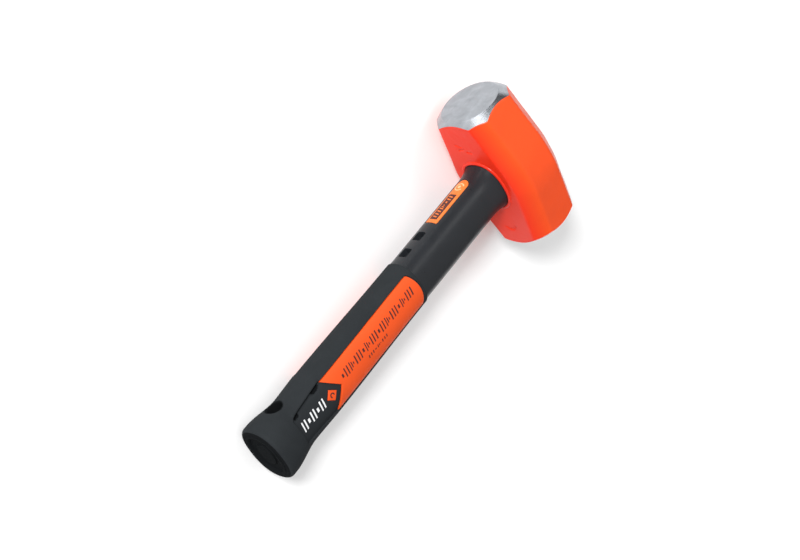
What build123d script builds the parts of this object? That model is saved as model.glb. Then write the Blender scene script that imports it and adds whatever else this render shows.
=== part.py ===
from build123d import *
from math import acos, atan2, cos, copysign, hypot, pi, sin
import os

# Short-handled club hammer, lying on one cheek, in millimetres.
# X runs along the head, from striking face to striking face.
# Y runs along the handle, towards the head. Z points up, out of the upper cheek.
# The origin is under the middle of the bounding box, on the surface the cheek lies on.
# "Depth" is a distance below the head's underside, towards the butt.

# Overall
overall_length = 300.0

# Head
head_length = 111.0
head_square = 47.0
corner_chamfer = 10.0
cheek_bulge = 9.5
crest_flat = 6.0
crest_radius = 60.0
face_radius = 21.6
bevel_depth_per_radius = 0.75
forged_edge_radius = 1.2

# Eye: a double taper, widest at its two mouths
eye_mouth_x = 19.2
eye_mouth_z = 16.0
eye_waist_x = 16.8
eye_waist_z = 13.6
eye_top_x = 18.0
eye_top_z = 14.8
eye_lip_width = 2.2
eye_lip_height = 0.9

# Locking plate in the top of the eye
plate_x = 20.6
plate_z = 17.4
plate_thickness = 3.0
plate_sink = 0.8

# Spring steel core: rods in two rows, held apart by combs and an end plate
rod_radius = 3.0
rod_columns = 3
rod_pitch_x = 8.6
rod_pitch_z = 8.8
rod_depth = 204.0
rivet_radius = 4.0
rivet_height = 1.4
core_plate_x = 13.6
core_plate_z = 9.8
core_plate_thickness = 3.0

# Shank moulding
oval_power = 2.3
section_ratio = 0.812
shank_x = 17.1
collar_flare_length = 14.0
collar_spans = 4
window_depths = (68.7, 84.8)
window_length = 7.2
window_width = 6.8
window_corner = 0.8
core_x = 15.2
core_z = 11.8
core_depth = 214.0

# Grip overmould
grip_depth = 96.0
grip_front_x = 17.9
grip_palm_x = 19.0
grip_palm_depth = 195.0
grip_waist_x = 18.6
grip_waist_depth = 222.0
butt_rim_x = 22.0
butt_rim_length = 6.0
butt_rim_radius = 3.0
grip_front_radius = 0.7
grip_spans = 18
butt_recess_x = 15.0
butt_recess_z = 11.0
butt_recess_depth = 0.7
lanyard_radius = 5.5
lanyard_depth = 229.0

# Side panel recess in each wide face of the grip, and what sits in it
panel_top_depth = 97.6
panel_top_sag = 3.4
panel_half_width = 13.2
panel_end_half_width = 10.6
panel_end_depth = 231.0
panel_corner = 1.6
panel_recess = 1.3
inlay_tip_depth = 198.5
inlay_notch_depth = 187.7
inlay_groove = 0.35
badge_side = 6.6
badge_depth = 197.6
badge_seat = 0.6
badge_proud = 0.5

# Label on each narrow face of the shank
label_top_depth = 12.8
label_end_depth = 55.0
label_half_width = 5.2
label_recess = 0.9
label_groove = 0.2

# Fits
bond_gap = 0.04
plate_clearance = 0.15

# Places worked out from the sizes
axis_z = head_square / 2 + cheek_bulge
head_y = (overall_length - head_square) / 2
underside_y = head_y - head_square / 2
handle_depth = overall_length - head_square
shank_z = shank_x * section_ratio
plate_seat_depth = plate_thickness + plate_sink - head_square
cut_reach = 40.0

wide_face = Plane(origin=(0, underside_y, axis_z), x_dir=(1, 0, 0), z_dir=(0, 0, 1))
narrow_face = Plane(origin=(0, underside_y, axis_z), x_dir=(0, -1, 0), z_dir=(1, 0, 0))


def section_plane(depth):
    """Plane across the handle at a depth, facing the butt, with X across and Z up."""
    origin = (0, underside_y - depth, axis_z)
    return Plane(origin=origin, x_dir=(1, 0, 0), z_dir=(0, -1, 0))


def oval_points(half_x, half_z, count=24):
    """Points of a superellipse, a little squarer than an ellipse."""
    points = []
    for i in range(count):
        across = cos(2 * pi * i / count)
        up = sin(2 * pi * i / count)
        x = half_x * copysign(abs(across) ** (2 / oval_power), across)
        z = half_z * copysign(abs(up) ** (2 / oval_power), up)
        points.append((x, z))
    return points


def oval_form(sections, inset=0.0):
    """Smooth solid through ovals, each given as (depth, half_x, half_z)."""
    with BuildPart() as form:
        for depth, half_x, half_z in sections:
            with BuildSketch(section_plane(depth)):
                with BuildLine():
                    Spline(*oval_points(half_x - inset, half_z - inset), periodic=True)
                make_face()
        loft()
    return form.part


def oval_prism(depth, length, half_x, half_z):
    """Straight oval solid, from a depth towards the butt."""
    with BuildPart() as prism:
        with BuildSketch(section_plane(depth)):
            with BuildLine():
                Spline(*oval_points(half_x, half_z), periodic=True)
            make_face()
        extrude(amount=length)
    return prism.part


def eye_sections():
    """Ovals of the eye, from the locking plate's seat to the underside."""
    return [
        (plate_seat_depth, eye_top_x, eye_top_z),
        (-head_square / 2, eye_waist_x, eye_waist_z),
        (0.0, eye_mouth_x, eye_mouth_z),
    ]


def smooth_step(share):
    """Rises from 0 to 1 with level ends."""
    return share * share * (3 - 2 * share)


def collar_sections():
    """Evenly spaced ovals of the collar, flaring up to fill the eye's mouth."""
    sections = []
    for i in range(collar_spans + 1):
        share = i / collar_spans
        flare = (1 - share) ** 2
        half_x = shank_x + flare * (eye_mouth_x - bond_gap - shank_x)
        half_z = shank_z + flare * (eye_mouth_z - bond_gap - shank_z)
        sections.append((share * collar_flare_length, half_x, half_z))
    return sections


def grip_half_width(depth):
    """Half width of the grip: front edge, palm swell, waist and butt rim."""
    stations = [
        (grip_depth, grip_front_x),
        (grip_palm_depth, grip_palm_x),
        (grip_waist_depth, grip_waist_x),
        (handle_depth - butt_rim_length, butt_rim_x),
    ]
    for (start, start_x), (end, end_x) in zip(stations, stations[1:]):
        if depth <= end:
            return start_x + (end_x - start_x) * smooth_step((depth - start) / (end - start))
    return butt_rim_x


def grip_sections():
    """Evenly spaced ovals of the grip."""
    sections = []
    for i in range(grip_spans + 1):
        depth = grip_depth + (handle_depth - grip_depth) * i / grip_spans
        half_x = grip_half_width(depth)
        sections.append((depth, half_x, half_x * section_ratio))
    return sections


def shank_form(inset=0.0):
    """Collar and straight shank, down to the grip's front edge."""
    with BuildPart() as form:
        add(oval_form(collar_sections(), inset))
        add(
            oval_prism(
                collar_flare_length,
                grip_depth - collar_flare_length,
                shank_x - inset,
                shank_z - inset,
            )
        )
    return form.part


def rod_places():
    """Centres of the rods across the handle, row by row."""
    places = []
    for row in (-0.5, 0.5):
        for column in range(rod_columns):
            x = (column - (rod_columns - 1) / 2) * rod_pitch_x
            places.append((x, row * rod_pitch_z))
    return places


def rod_form(x, z, gap=0.0):
    """One rod, from its countersunk upper head to the rivet under the end plate."""
    top = head_square - plate_sink
    axis_point = (x, underside_y, axis_z + z)
    with BuildPart() as form:
        with BuildSketch(Plane(origin=axis_point, x_dir=(1, 0, 0), z_dir=(0, 0, 1))):
            with BuildLine():
                Polyline(
                    (0, top),
                    (rivet_radius + gap, top),
                    (rod_radius + gap, top - rivet_height),
                    (rod_radius + gap, gap - rod_depth),
                    (rivet_radius + gap, gap - rod_depth),
                    (rivet_radius + gap, -rod_depth - rivet_height - gap),
                    (0, -rod_depth - rivet_height - gap),
                    close=True,
                )
            make_face()
        revolve(axis=Axis(axis_point, (0, 1, 0)))
    return form.part


def panel_prism(side):
    """Column over one wide face with the side panel's outline."""
    corner_y = -panel_top_depth - panel_top_sag
    with BuildPart() as prism:
        with BuildSketch(wide_face) as outline:
            with BuildLine():
                Polyline(
                    (panel_half_width, corner_y),
                    (panel_half_width, -inlay_tip_depth),
                    (panel_end_half_width, -panel_end_depth),
                    (-panel_end_half_width, -panel_end_depth),
                    (-panel_half_width, -inlay_tip_depth),
                    (-panel_half_width, corner_y),
                )
                ThreePointArc(
                    (-panel_half_width, corner_y),
                    (0, -panel_top_depth),
                    (panel_half_width, corner_y),
                )
            make_face()
            top_corners = outline.vertices().group_by(Axis.Y)[-1]
            end_corners = outline.vertices().group_by(Axis.Y)[0]
            fillet(top_corners + end_corners, panel_corner)
        extrude(amount=side * cut_reach)
    return prism.part


def inlay_prism(side):
    """The same column, ending in a swallowtail and standing clear of the recess's wall."""
    half_width = panel_half_width - inlay_groove
    corner_y = -panel_top_depth - panel_top_sag - inlay_groove
    with BuildPart() as prism:
        with BuildSketch(wide_face) as outline:
            with BuildLine():
                Polyline(
                    (half_width, corner_y),
                    (half_width, -inlay_tip_depth),
                    (0, -inlay_notch_depth),
                    (-half_width, -inlay_tip_depth),
                    (-half_width, corner_y),
                )
                ThreePointArc(
                    (-half_width, corner_y),
                    (0, -panel_top_depth - inlay_groove),
                    (half_width, corner_y),
                )
            make_face()
            top_corners = outline.vertices().filter_by(lambda v: abs(v.Y - corner_y) < 0.01)
            fillet(top_corners, panel_corner - inlay_groove)
        extrude(amount=side * cut_reach)
    return prism.part


def badge_prism(side, gap=0.0):
    """Square column standing on its corner, below the swallowtail's notch."""
    with BuildPart() as prism:
        with BuildSketch(wide_face):
            with Locations((0, -badge_depth)):
                Rectangle(badge_side + 2 * gap, badge_side + 2 * gap, rotation=45)
        extrude(amount=side * cut_reach)
    return prism.part


def label_prism(side, gap=0.0):
    """Column over one narrow face, round at its upper end and square at the other."""
    half_width = label_half_width + gap
    top = label_top_depth - gap
    end = label_end_depth + gap
    with BuildPart() as prism:
        with BuildSketch(narrow_face):
            with BuildLine():
                Polyline(
                    (top + half_width, half_width),
                    (end, half_width),
                    (end, -half_width),
                    (top + half_width, -half_width),
                )
                ThreePointArc(
                    (top + half_width, -half_width),
                    (top, 0),
                    (top + half_width, half_width),
                )
            make_face()
        extrude(amount=side * cut_reach)
    return prism.part


sides = {"upper": 1, "lower": -1}
ends = {"front": -1, "rear": 1}
gapped_rods = [rod_form(x, z, bond_gap) for x, z in rod_places()]


# Head: an octagonal forging that swells to a crest over the eye, with ground striking ends
half_length = head_length / 2
half_square = head_square / 2
bevel_reach = 2 * half_square
eye_form = oval_form(eye_sections())
plate_recess = oval_prism(
    -head_square - 1,
    plate_thickness + plate_sink + 1,
    plate_x + plate_clearance,
    plate_z + plate_clearance,
)
lip_outer = oval_prism(
    -1, 1 + eye_lip_height, eye_mouth_x + eye_lip_width, eye_mouth_z + eye_lip_width
)
lip_bore = oval_prism(-1, 2 + eye_lip_height, eye_mouth_x, eye_mouth_z)


def cheek_line(side):
    """One cheek's outline in the open line: flanks, tangent arcs and the flat on the crest."""
    crest_half = crest_flat / 2
    top = half_square + cheek_bulge
    along = half_length - crest_half
    up = crest_radius - cheek_bulge
    turn = atan2(up, along) + acos(crest_radius / hypot(along, up))
    middle = (turn + pi / 2) / 2
    for end in ends.values():
        corner = (end * half_length, side * half_square)
        tangent = (
            end * (crest_half + crest_radius * cos(turn)),
            side * (top - crest_radius * (1 - sin(turn))),
        )
        halfway = (
            end * (crest_half + crest_radius * cos(middle)),
            side * (top - crest_radius * (1 - sin(middle))),
        )
        Line(corner, tangent)
        ThreePointArc(tangent, halfway, (end * crest_half, side * top))
    Line((-crest_half, side * top), (crest_half, side * top))


with BuildPart() as turned_ends:
    with BuildSketch(Plane.XY):
        with BuildLine():
            Polyline(
                (-half_length, 0),
                (-half_length, face_radius),
                (-half_length + bevel_reach * bevel_depth_per_radius, face_radius + bevel_reach),
                (half_length - bevel_reach * bevel_depth_per_radius, face_radius + bevel_reach),
                (half_length, face_radius),
                (half_length, 0),
                close=True,
            )
        make_face()
    revolve(axis=Axis.X)
turned_blank = Pos(0, head_y, axis_z) * turned_ends.part

with BuildPart() as head:
    with BuildSketch(section_plane(0)):
        with BuildLine():
            for side in sides.values():
                cheek_line(side)
            Line((-half_length, -half_square), (-half_length, half_square))
            Line((half_length, -half_square), (half_length, half_square))
        make_face()
    extrude(amount=-head_square)
    long_edges = head.edges().filter_by(lambda e: abs(e.tangent_at(0.5).X) > 0.9)
    chamfer(long_edges, corner_chamfer)
    rough_edges = head.edges().filter_by(lambda e: abs(e.tangent_at(0.5).X) > 0.9)
    fillet(rough_edges, forged_edge_radius)
    add(turned_blank, mode=Mode.INTERSECT)
    add(lip_outer)
    add(lip_bore, mode=Mode.SUBTRACT)
    add(eye_form, mode=Mode.SUBTRACT)
    add(plate_recess, mode=Mode.SUBTRACT)
head.part.label = "head"


# Locking plate: wider than the eye, so that the head can't leave the handle
with BuildPart() as locking_plate:
    add(oval_prism(-head_square + plate_sink, plate_thickness - bond_gap, plate_x, plate_z))
    for rod in gapped_rods:
        add(rod, mode=Mode.SUBTRACT)
locking_plate.part.label = "locking_plate"


# Core rods
core_rods = []
for number, (x, z) in enumerate(rod_places(), start=1):
    rod = rod_form(x, z)
    rod.label = f"core_rod_{number}"
    core_rods.append(rod)


# Rod combs behind the windows, and the end plate that the rods are riveted over
def core_plate_form(depth, gap=0.0):
    """Oval plate across the core, centred on a depth."""
    thickness = core_plate_thickness + 2 * gap
    return oval_prism(depth - thickness / 2, thickness, core_plate_x + gap, core_plate_z + gap)


end_plate_middle = rod_depth - core_plate_thickness / 2
core_plate_places = {
    "rod_comb_upper": window_depths[0],
    "rod_comb_lower": window_depths[1],
    "core_end_plate": end_plate_middle,
}
core_plates = []
for name, depth in core_plate_places.items():
    with BuildPart() as plate:
        add(core_plate_form(depth))
        for rod in gapped_rods:
            add(rod, mode=Mode.SUBTRACT)
    plate.part.label = name
    core_plates.append(plate.part)


# Shank: fills the eye, flares out under the head and runs down inside the grip
eye_fill = oval_form(eye_sections(), bond_gap)
shank_neck = shank_form()
label_floor = shank_form(label_recess)
label_cuts = [label_prism(side, label_groove) - label_floor for side in ends.values()]

with BuildPart() as window_cuts:
    for side in ends.values():
        for depth in window_depths:
            with BuildSketch(narrow_face.offset(side * core_plate_x)):
                with Locations((depth, 0)):
                    RectangleRounded(window_length, window_width, window_corner)
            extrude(amount=side * cut_reach)

with BuildPart() as shank:
    add(eye_fill)
    add(shank_neck)
    add(oval_prism(grip_depth, core_depth - grip_depth, core_x, core_z))
    for cut in label_cuts:
        add(cut, mode=Mode.SUBTRACT)
    add(window_cuts.part, mode=Mode.SUBTRACT)
    for rod in gapped_rods:
        add(rod, mode=Mode.SUBTRACT)
    for depth in core_plate_places.values():
        add(core_plate_form(depth, bond_gap), mode=Mode.SUBTRACT)
shank.part.label = "shank"


# Labels on the narrow faces of the shank
label_bed = shank_form(label_recess - bond_gap)
labels = []
for end, side in ends.items():
    with BuildPart() as label:
        add(label_prism(side))
        add(shank_neck, mode=Mode.INTERSECT)
        add(label_bed, mode=Mode.SUBTRACT)
    label.part.label = f"shank_label_{end}"
    labels.append(label.part)


# Grip: moulded over the shank's lower end, with a recessed panel on each wide face
grip_body = oval_form(grip_sections())
panel_floor = oval_form(grip_sections(), panel_recess)
badge_floor = oval_form(grip_sections(), panel_recess + badge_seat)
core_cavity = oval_prism(
    grip_depth - 1, core_depth - grip_depth + 1 + bond_gap, core_x + bond_gap, core_z + bond_gap
)

with BuildPart() as lanyard_hole:
    with BuildSketch(Plane(origin=(-cut_reach, underside_y, axis_z), x_dir=(0, -1, 0), z_dir=(1, 0, 0))):
        with Locations((lanyard_depth, 0)):
            Circle(lanyard_radius)
    extrude(amount=2 * cut_reach)

with BuildPart() as grip:
    add(grip_body)
    butt_rim = grip.edges().group_by(Axis.Y)[0]
    fillet(butt_rim, butt_rim_radius)
    front_rim = grip.edges().group_by(Axis.Y)[-1]
    fillet(front_rim, grip_front_radius)
    for side in sides.values():
        add(panel_prism(side) - panel_floor, mode=Mode.SUBTRACT)
        add(badge_prism(side, bond_gap) - badge_floor, mode=Mode.SUBTRACT)
    add(core_cavity, mode=Mode.SUBTRACT)
    add(lanyard_hole.part, mode=Mode.SUBTRACT)
    add(
        oval_prism(handle_depth - butt_recess_depth, cut_reach, butt_recess_x, butt_recess_z),
        mode=Mode.SUBTRACT,
    )
grip.part.label = "grip"


# Side inlays, with a swallowtail towards the butt
inlay_bed = oval_form(grip_sections(), panel_recess - bond_gap)
inlays = []
for name, side in sides.items():
    with BuildPart() as inlay:
        add(inlay_prism(side))
        add(grip_body, mode=Mode.INTERSECT)
        add(inlay_bed, mode=Mode.SUBTRACT)
    inlay.part.label = f"side_inlay_{name}"
    inlays.append(inlay.part)


# Square badges seated in the panel floor, on their corners below the inlays
badge_top = oval_form(grip_sections(), panel_recess - badge_proud)
badge_bed = oval_form(grip_sections(), panel_recess + badge_seat - bond_gap)
badges = []
for name, side in sides.items():
    with BuildPart() as badge:
        add(badge_prism(side))
        add(badge_top, mode=Mode.INTERSECT)
        add(badge_bed, mode=Mode.SUBTRACT)
    badge.part.label = f"badge_{name}"
    badges.append(badge.part)


os.makedirs("parts", exist_ok=True)
single_parts = [head.part, locking_plate.part, shank.part, grip.part]
for piece in single_parts + core_rods + core_plates + labels + inlays + badges:
    export_step(piece, f"parts/{piece.label}.step")
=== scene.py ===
import math

import bpy
import numpy as np
from bpy.props import FloatProperty, FloatVectorProperty, PointerProperty
from bpy.types import Operator, Panel, PropertyGroup
from mathutils import Matrix, Vector, noise


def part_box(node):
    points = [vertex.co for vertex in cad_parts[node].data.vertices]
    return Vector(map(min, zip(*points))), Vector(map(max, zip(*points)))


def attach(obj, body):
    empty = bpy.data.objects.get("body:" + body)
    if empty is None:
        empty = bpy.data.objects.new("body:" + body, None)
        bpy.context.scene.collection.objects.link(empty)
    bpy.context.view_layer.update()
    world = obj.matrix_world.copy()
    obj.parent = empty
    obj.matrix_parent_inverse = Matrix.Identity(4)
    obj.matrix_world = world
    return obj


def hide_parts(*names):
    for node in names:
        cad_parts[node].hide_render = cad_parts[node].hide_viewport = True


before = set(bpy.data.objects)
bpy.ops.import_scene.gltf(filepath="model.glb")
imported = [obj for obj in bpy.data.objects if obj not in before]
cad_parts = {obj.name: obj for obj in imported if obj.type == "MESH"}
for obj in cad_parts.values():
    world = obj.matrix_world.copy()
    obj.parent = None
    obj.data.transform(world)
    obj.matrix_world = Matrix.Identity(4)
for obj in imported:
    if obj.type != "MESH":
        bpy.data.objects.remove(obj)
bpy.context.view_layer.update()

bl_info = {
    "name": "Club Hammer",
    "version": (1, 0, 0),
    "blender": (4, 5, 0),
    "location": "View3D > Sidebar > Hammer",
    "description": "Builds a short-handled club hammer around its CAD frame",
    "category": "Add Mesh",
}

MM = 0.001
HEAD_LOW, HEAD_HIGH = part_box("head")
GRIP_LOW, GRIP_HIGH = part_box("grip")
AXIS_Z = (HEAD_LOW.z + HEAD_HIGH.z) / 2
HEAD_HALF_LENGTH = (HEAD_HIGH.x - HEAD_LOW.x) / 2
HEAD_HALF_HEIGHT = (HEAD_HIGH.z - HEAD_LOW.z) / 2
FACES = {"upper": 1, "lower": -1}
ENDS = {"front": -1, "rear": 1}


# ---------------------------------------------------------------- sizes and colours


def length(name, description, default):
    """A length in metres that a user may change, given in millimetres."""
    return FloatProperty(name=name, description=description, default=default * MM, unit="LENGTH", min=0.0)


def watts(name, description, default):
    """A light's power in watts that a user may change."""
    return FloatProperty(name=name, description=description, default=default, unit="POWER", min=0.0)


def colour(name, description, default):
    """A linear colour that a user may change."""
    return FloatVectorProperty(
        name=name, description=description, default=default, subtype="COLOR", size=3, min=0, max=1
    )


class HammerHeadSizes(PropertyGroup):
    square: length("Square", "Distance between opposite flats at the ends", 47.0)
    chamfer: length("Chamfer", "Leg of the octagon's corner flats", 10.0)
    crest_flat: length("Crest flat", "Width of the flat on the cheek's crest", 6.0)
    crest_radius: length("Crest radius", "Radius of the cheek's crest", 60.0)
    face_radius: length("Face radius", "Radius of the striking face inside its bevel", 21.6)
    bevel_slope: FloatProperty(
        name="Bevel slope", description="Depth of the bevel for each unit of radius", default=0.75
    )
    edge_radius: length("Edge radius", "Rounding of the forged edges", 3.2)
    crown: length("Crown", "How far the striking face stands out in the middle", 0.5)
    lip_height: length("Lip height", "Height of the lip around the eye", 0.9)
    lip_width: length("Lip width", "Width of the lip around the eye", 2.2)
    eye_x: length("Eye half length", "Half length of the eye's mouth", 19.2)
    eye_z: length("Eye half width", "Half width of the eye's mouth", 16.0)
    plate_seat: length("Plate seat", "Depth of the locking plate's seat", 3.8)
    plate_x: length("Seat half length", "Half length of the locking plate's seat", 20.75)
    plate_z: length("Seat half width", "Half width of the locking plate's seat", 17.55)


class HammerHandleSizes(PropertyGroup):
    oval_power: FloatProperty(
        name="Oval power", description="Power of the handle's oval: 2 is an ellipse", default=2.3
    )
    section_ratio: FloatProperty(
        name="Section ratio", description="Thickness of the handle over its width", default=0.812
    )
    shank_x: length("Shank", "Half width of the shank", 17.1)
    flare_length: length("Flare", "Length of the collar under the head", 14.0)
    front_x: length("Grip front", "Half width of the grip's front edge", 17.9)
    palm_x: length("Palm swell", "Half width of the palm swell", 19.0)
    palm_depth: length("Palm depth", "Depth of the palm swell", 195.0)
    waist_x: length("Waist", "Half width of the waist", 18.6)
    waist_depth: length("Waist depth", "Depth of the waist", 222.0)
    rim_x: length("Butt rim", "Half width of the butt's rim", 22.0)
    rim_length: length("Rim length", "Length of the straight rim", 6.0)
    rim_radius: length("Rim radius", "Rounding of the butt's rim", 3.0)
    lanyard_depth: length("Lanyard depth", "Depth of the lanyard hole", 229.0)
    lanyard_radius: length("Lanyard radius", "Radius of the lanyard hole", 5.5)


class HammerPanelSizes(PropertyGroup):
    top_depth: length("Top", "Depth of the panel's upper end", 97.6)
    top_sag: length("Top sag", "How far the upper end curves back at its corners", 3.4)
    half_width: length("Half width", "Half width of the side panel", 13.2)
    end_half_width: length("End half width", "Half width at the panel's lower end", 10.6)
    end_depth: length("End", "Depth of the panel's lower end", 231.0)
    corner: length("Corner", "Rounding of the panel's corners", 1.6)
    recess: length("Recess", "How deep the panel is set into the grip", 1.3)
    tip_depth: length("Tips", "Depth of the swallowtail's tips", 198.5)
    notch_depth: length("Notch", "Depth of the swallowtail's notch", 187.7)
    groove: length("Groove", "Gap around the inlay", 0.6)
    label_top: length("Label top", "Depth of the label's round end", 12.8)
    label_end: length("Label end", "Depth of the label's square end", 55.0)
    label_half_width: length("Label half width", "Half width of the label", 5.2)
    badge_depth: length("Badge depth", "Depth of the badge's centre", 197.6)
    badge_side: length("Badge side", "Side of the square badge", 6.6)
    badge_proud: length("Badge height", "How far the badge stands above the recess", 0.5)


class HammerColours(PropertyGroup):
    enamel: colour("Enamel", "Paint on the forged head", (0.84, 0.074, 0.009))
    # Painted shade: a deeper, darker red for the head's underside near the handle, which faces away from the
    # light.
    enamel_underside_shade: colour("Enamel, thick", "Paint where it pooled while it hung", (0.76, 0.023, 0.007))
    steel: colour("Ground steel", "Striking faces", (0.40, 0.42, 0.45))
    plate: colour("Plate steel", "Locking plate and end plate", (0.34, 0.34, 0.33))
    rubber_shank: colour("Shank rubber", "Smooth hard rubber", (0.012, 0.0135, 0.016))
    rubber_grip: colour("Grip rubber", "Soft matte rubber", (0.019, 0.0215, 0.0235))
    label: colour("Label", "Amber film of the shank's labels", (0.80, 0.19, 0.035))
    inlay: colour("Inlay", "Orange rubber of the inlays", (0.77, 0.080, 0.009))
    print_dark: colour("Dark print", "Marks on the orange pieces", (0.07, 0.008, 0.004))
    print_cream: colour("Cream print", "Ring on the labels", (0.86, 0.56, 0.28))
    print_white: colour("White print", "Marks on the black pieces", (0.86, 0.87, 0.88))


class HammerStage(PropertyGroup):
    floor: colour("Floor", "Pale floor", (0.82, 0.82, 0.82))
    floor_size: length("Floor size", "Length of its sides", 40000.0)
    key_power: watts("Key", "Power of the key light", 150.0)
    fill_power: watts("Fill", "Power of the fill light", 2.0)
    strip_power: watts("Strip", "Power of the low strip", 14.0)
    lens: FloatProperty(name="Lens", description="Focal length in millimetres", default=90.0)


GROUPS = {
    "hammer_head": HammerHeadSizes,
    "hammer_handle": HammerHandleSizes,
    "hammer_panel": HammerPanelSizes,
    "hammer_colours": HammerColours,
    "hammer_stage": HammerStage,
}


# ---------------------------------------------------------------- shapes


def smooth_step(value):
    """Rises from 0 to 1 with level ends, for a number or an array."""
    share = np.clip(value, 0.0, 1.0)
    return share * share * (3 - 2 * share)


def round_angles(count):
    """Evenly spaced angles of a full turn."""
    return np.arange(count) / count * 2 * math.pi


def underside_y():
    """Height of the head's underside along the handle, where depth is 0."""
    return HEAD_HIGH.y - bpy.context.scene.hammer_head.square


def grip_half_width(depth):
    """Half width of the grip at a depth: front edge, palm swell, waist and butt rim."""
    sizes = bpy.context.scene.hammer_handle
    front = underside_y() - GRIP_HIGH.y
    rim = underside_y() - GRIP_LOW.y - sizes.rim_length
    stations = [
        (front, sizes.front_x),
        (sizes.palm_depth, sizes.palm_x),
        (sizes.waist_depth, sizes.waist_x),
        (rim, sizes.rim_x),
    ]
    width = sizes.front_x
    for (start, start_x), (end, end_x) in zip(stations, stations[1:]):
        width = width + (end_x - start_x) * smooth_step((depth - start) / (end - start))
    return width


def shank_half_sizes(depth):
    """Half width and half thickness of the shank, flaring into the eye's mouth."""
    sizes = bpy.context.scene.hammer_handle
    head = bpy.context.scene.hammer_head
    flare = np.clip(1 - depth / sizes.flare_length, 0.0, 1.0) ** 2
    half_z = sizes.shank_x * sizes.section_ratio
    return (
        sizes.shank_x + flare * (head.eye_x - sizes.shank_x),
        half_z + flare * (head.eye_z - half_z),
    )


def oval_other(value, half_this, half_other):
    """The oval's other coordinate, where one of them is value."""
    power = bpy.context.scene.hammer_handle.oval_power
    share = np.clip(1 - (np.abs(value) / half_this) ** power, 0.0, 1.0)
    return half_other * share ** (1 / power)


def oval_ring(angles, half_x, half_z, y):
    """Points of one oval across the handle."""
    power = bpy.context.scene.hammer_handle.oval_power
    across, up = np.cos(angles), np.sin(angles)
    x = half_x * np.sign(across) * np.abs(across) ** (2 / power)
    z = half_z * np.sign(up) * np.abs(up) ** (2 / power)
    return np.column_stack([x, np.full(len(x), y), AXIS_Z + z])


def wide_point(face, inset):
    """Maps (x, depth) to a point on one wide face of the grip, a distance below its surface."""

    def place(x, depth):
        half_x = grip_half_width(depth)
        ratio = bpy.context.scene.hammer_handle.section_ratio
        height = oval_other(x, half_x - inset, half_x * ratio - inset)
        return np.stack([x, underside_y() - depth, AXIS_Z + FACES[face] * height], axis=-1)

    return place


def narrow_point(end, inset):
    """Maps (z, depth) to a point on one narrow face of the shank, a distance below its surface."""

    def place(z, depth):
        half_x, half_z = shank_half_sizes(depth)
        reach = oval_other(z, half_z - inset, half_x - inset)
        return np.stack([ENDS[end] * reach, underside_y() - depth, AXIS_Z + z], axis=-1)

    return place


def place_in_scene(name, data):
    """New object of some data, linked to the scene."""
    item = bpy.data.objects.new(name, data)
    bpy.context.scene.collection.objects.link(item)
    return item


def mesh_object(name, points, polygons, material):
    """New smooth object of points and polygons, with its normals turned outwards."""
    mesh = bpy.data.meshes.new(name)
    mesh.from_pydata(np.asarray(points).tolist(), [], polygons)
    mesh.validate()
    mesh.materials.append(material)
    piece = place_in_scene(name, mesh)
    turn_outwards(mesh)
    mesh.polygons.foreach_set("use_smooth", [True] * len(mesh.polygons))
    return piece


def turn_outwards(mesh):
    """Flips a closed mesh whose volume comes out negative."""
    mesh.calc_loop_triangles()
    points = np.array([v.co for v in mesh.vertices])
    corners = np.array([t.vertices for t in mesh.loop_triangles])
    a, b, c = (points[corners[:, i]] for i in range(3))
    if np.einsum("ij,ij->i", a, np.cross(b, c)).sum() < 0:
        mesh.flip_normals()


def band_polygons(low, high, columns):
    """Quads between two rings, given the index of the first point of each."""
    quads = []
    for column in range(columns):
        after = (column + 1) % columns
        quads.append((low + column, low + after, high + after, high + column))
    return quads


def ring_polygons(ring_count, columns):
    """Quads between rings of equal point counts, and fans to a pole at each end."""
    polygons = []
    for ring in range(ring_count - 1):
        polygons += band_polygons(ring * columns, (ring + 1) * columns, columns)
    first_pole = ring_count * columns
    last = (ring_count - 1) * columns
    for column in range(columns):
        after = (column + 1) % columns
        polygons.append((first_pole, after, column))
        polygons.append((first_pole + 1, last + column, last + after))
    return polygons


def ring_object(name, rings, material):
    """Closed skin through rings of points, shut at both ends."""
    poles = [rings[0].mean(axis=0), rings[-1].mean(axis=0)]
    points = np.vstack([*rings, poles])
    return mesh_object(name, points, ring_polygons(len(rings), len(rings[0])), material)


def slab_object(name, top, bed, material):
    """Closed slab between two grids of points of the same size."""
    rows, columns = top.shape[:2]
    count = rows * columns
    polygons = []
    for row in range(rows - 1):
        for column in range(columns - 1):
            a = row * columns + column
            quad = (a, a + 1, a + columns + 1, a + columns)
            polygons.append(quad)
            polygons.append(tuple(count + i for i in reversed(quad)))
    rim = list(range(columns))
    rim += [row * columns + columns - 1 for row in range(1, rows)]
    rim += [(rows - 1) * columns + column for column in range(columns - 2, -1, -1)]
    rim += [row * columns for row in range(rows - 2, 0, -1)]
    for here, after in zip(rim, rim[1:] + rim[:1]):
        polygons.append((here, count + here, count + after, after))
    points = np.vstack([top.reshape(-1, 3), bed.reshape(-1, 3)])
    return mesh_object(name, points, polygons, material)


def cut_out(piece, cutter):
    """Cuts one closed mesh out of another and deletes the cutter."""
    modifier = piece.modifiers.new("cut", "BOOLEAN")
    modifier.operation = "DIFFERENCE"
    modifier.solver = "EXACT"
    modifier.object = cutter
    bpy.context.view_layer.update()
    evaluated = piece.evaluated_get(bpy.context.evaluated_depsgraph_get())
    mesh = bpy.data.meshes.new_from_object(evaluated)
    piece.modifiers.clear()
    old = piece.data
    piece.data = mesh
    bpy.data.meshes.remove(old)
    bpy.data.objects.remove(cutter)


def place_piece(piece, slot, crisp, *nodes):
    """Keeps edges above an angle crisp, fixes a piece to the hammer and hides the CAD nodes that it
    replaces.
    """
    piece.data.set_sharp_from_angle(angle=math.radians(crisp))
    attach(piece, "root")
    if nodes:
        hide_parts(*nodes)


# ---------------------------------------------------------------- materials


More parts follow.
